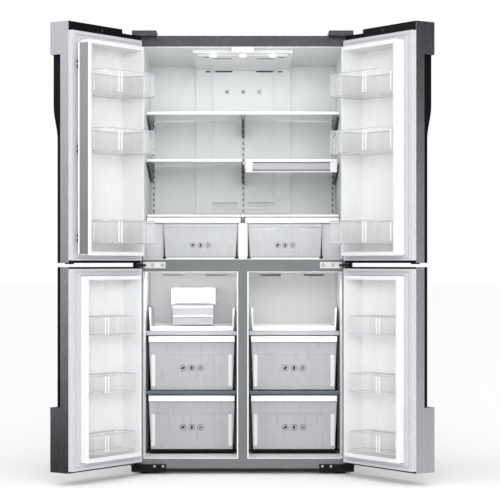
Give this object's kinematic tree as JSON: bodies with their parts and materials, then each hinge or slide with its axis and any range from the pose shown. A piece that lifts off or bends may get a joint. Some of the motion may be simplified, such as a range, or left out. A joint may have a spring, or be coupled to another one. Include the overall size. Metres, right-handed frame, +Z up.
{
  "type": "french door refrigerator",
  "caption": "Free-standing refrigerator with paired upper doors and paired lower freezer doors, all open, with shelves, bins and drawers.",
  "frame": {"origin": "floor level, under the middle of the open appliance", "axes": "+Z up, the long way; +Y to the back; +X to the viewer's right; doors open towards -Y"},
  "size_m": [1.5132, 1.06, 1.825],
  "materials": {
    "steel_finish": "satin",
    "frame_paint": "satin",
    "galvanised": "satin",
    "foam": "matte",
    "white_liner": "satin",
    "gasket_rubber": "matte",
    "black_plastic": "matte",
    "clear_plastic": "gloss",
    "drawer_plastic": "satin",
    "shelf_glass": "gloss",
    "lamp_lens": "satin",
    "bright_metal": "satin",
    "flipper_steel": "satin",
    "rail_steel": "satin",
    "bracket_steel": "satin",
    "hinge_steel": "satin",
    "machine_black": "satin",
    "fan_plastic": "matte",
    "roller_plastic": "matte"
  },
  "bodies": {
    "cabinet": {"cabinet_foam": "foam", "cabinet_panels": "steel_finish", "ceiling_lamp": "lamp_lens", "compressor": "machine_black", "crisper_supports": "white_liner", "duct_covers": "white_liner", "evaporator": "bright_metal", "fan_motor": "machine_black", "freezer_liners": "white_liner", "fridge_liner": "white_liner", "front_frame": "frame_paint", "glass_shelves": "shelf_glass", "hinge_covers": "black_plastic", "hinge_plates": "hinge_steel", "hinge_screws": "hinge_steel", "ice_maker": "white_liner", "ladder_rails": "rail_steel", "levelling_feet": "black_plastic", "rear_panels": "galvanised", "shelf_brackets": "bracket_steel", "shelf_trims": "white_liner"},
    "upper_left_door": {"upper_left_door_skin": "steel_finish", "upper_left_door_foam": "foam", "upper_left_door_liner": "white_liner", "upper_left_door_gasket": "gasket_rubber", "upper_left_door_trim": "black_plastic", "upper_left_door_bins": "clear_plastic"},
    "upper_right_door": {"upper_right_door_skin": "steel_finish", "upper_right_door_foam": "foam", "upper_right_door_liner": "white_liner", "upper_right_door_gasket": "gasket_rubber", "upper_right_door_trim": "black_plastic", "upper_right_door_bins": "clear_plastic"},
    "lower_left_door": {"lower_left_door_skin": "steel_finish", "lower_left_door_foam": "foam", "lower_left_door_liner": "white_liner", "lower_left_door_gasket": "gasket_rubber", "lower_left_door_trim": "black_plastic", "lower_left_door_bins": "clear_plastic"},
    "lower_right_door": {"lower_right_door_skin": "steel_finish", "lower_right_door_foam": "foam", "lower_right_door_liner": "white_liner", "lower_right_door_gasket": "gasket_rubber", "lower_right_door_trim": "black_plastic", "lower_right_door_bins": "clear_plastic"},
    "flipper": {"flipper_bar": "white_liner", "flipper_plate": "flipper_steel"},
    "left_crisper": {"left_crisper": "clear_plastic"},
    "right_crisper": {"right_crisper": "clear_plastic"},
    "left_upper_drawer": {"left_upper_drawer": "drawer_plastic"},
    "left_lower_drawer": {"left_lower_drawer": "drawer_plastic"},
    "right_upper_drawer": {"right_upper_drawer": "drawer_plastic"},
    "right_lower_drawer": {"right_lower_drawer": "drawer_plastic"},
    "left_tray": {"left_tray": "white_liner"},
    "right_tray": {"right_tray": "white_liner"},
    "ice_bucket": {"ice_bucket": "clear_plastic"},
    "rear_rollers": {"rear_rollers": "roller_plastic"},
    "evaporator_fan": {"evaporator_fan": "fan_plastic"},
    "sliding_shelf": {"sliding_shelf_glass": "shelf_glass", "sliding_shelf_bar": "bright_metal"}
  },
  "joints": [
    {"name": "upper_left_door_swing", "type": "hinge", "parent": "cabinet", "child": "upper_left_door", "pos_m": [-0.443, -0.126, 1.3], "axis": [0, 0, -1], "range_deg": [-125, 5]},
    {"name": "upper_right_door_swing", "type": "hinge", "parent": "cabinet", "child": "upper_right_door", "pos_m": [0.443, -0.126, 1.3], "axis": [0, 0, 1], "range_deg": [-125, 5]},
    {"name": "lower_left_door_swing", "type": "hinge", "parent": "cabinet", "child": "lower_left_door", "pos_m": [-0.443, -0.126, 0.45], "axis": [0, 0, -1], "range_deg": [-125, 5]},
    {"name": "lower_right_door_swing", "type": "hinge", "parent": "cabinet", "child": "lower_right_door", "pos_m": [0.443, -0.126, 0.45], "axis": [0, 0, 1], "range_deg": [-125, 5]},
    {"name": "flipper_fold", "type": "hinge", "parent": "upper_left_door", "child": "flipper", "pos_m": [-0.64188, -0.48848, 1.3], "axis": [0, 0, 1], "range_deg": [-90, 0]},
    {"name": "left_crisper_slide", "type": "slide", "parent": "cabinet", "child": "left_crisper", "axis": [0, -1, 0], "range_m": [0, 0.3]},
    {"name": "right_crisper_slide", "type": "slide", "parent": "cabinet", "child": "right_crisper", "axis": [0, -1, 0], "range_m": [0, 0.3]},
    {"name": "left_upper_drawer_slide", "type": "slide", "parent": "cabinet", "child": "left_upper_drawer", "axis": [0, -1, 0], "range_m": [0, 0.28]},
    {"name": "right_upper_drawer_slide", "type": "slide", "parent": "cabinet", "child": "right_upper_drawer", "axis": [0, -1, 0], "range_m": [0, 0.28]},
    {"name": "left_lower_drawer_slide", "type": "slide", "parent": "cabinet", "child": "left_lower_drawer", "axis": [0, -1, 0], "range_m": [0, 0.22]},
    {"name": "right_lower_drawer_slide", "type": "slide", "parent": "cabinet", "child": "right_lower_drawer", "axis": [0, -1, 0], "range_m": [0, 0.22]},
    {"name": "left_tray_slide", "type": "slide", "parent": "cabinet", "child": "left_tray", "axis": [0, -1, 0], "range_m": [0, 0.28]},
    {"name": "right_tray_slide", "type": "slide", "parent": "cabinet", "child": "right_tray", "axis": [0, -1, 0], "range_m": [0, 0.28]},
    {"name": "ice_bucket_slide", "type": "slide", "parent": "cabinet", "child": "ice_bucket", "axis": [0, -1, 0], "range_m": [0, 0.24]},
    {"name": "sliding_shelf_slide", "type": "slide", "parent": "cabinet", "child": "sliding_shelf", "axis": [0, -1, 0], "range_m": [0, 0.19]},
    {"name": "rear_rollers_roll", "type": "hinge", "parent": "cabinet", "child": "rear_rollers", "pos_m": [0, 0.469, 0.022], "axis": [1, 0, 0], "continuous": true},
    {"name": "evaporator_fan_spin", "type": "hinge", "parent": "cabinet", "child": "evaporator_fan", "pos_m": [-0.21, 0.462, 0.734], "axis": [0, 1, 0], "continuous": true}
  ]
}
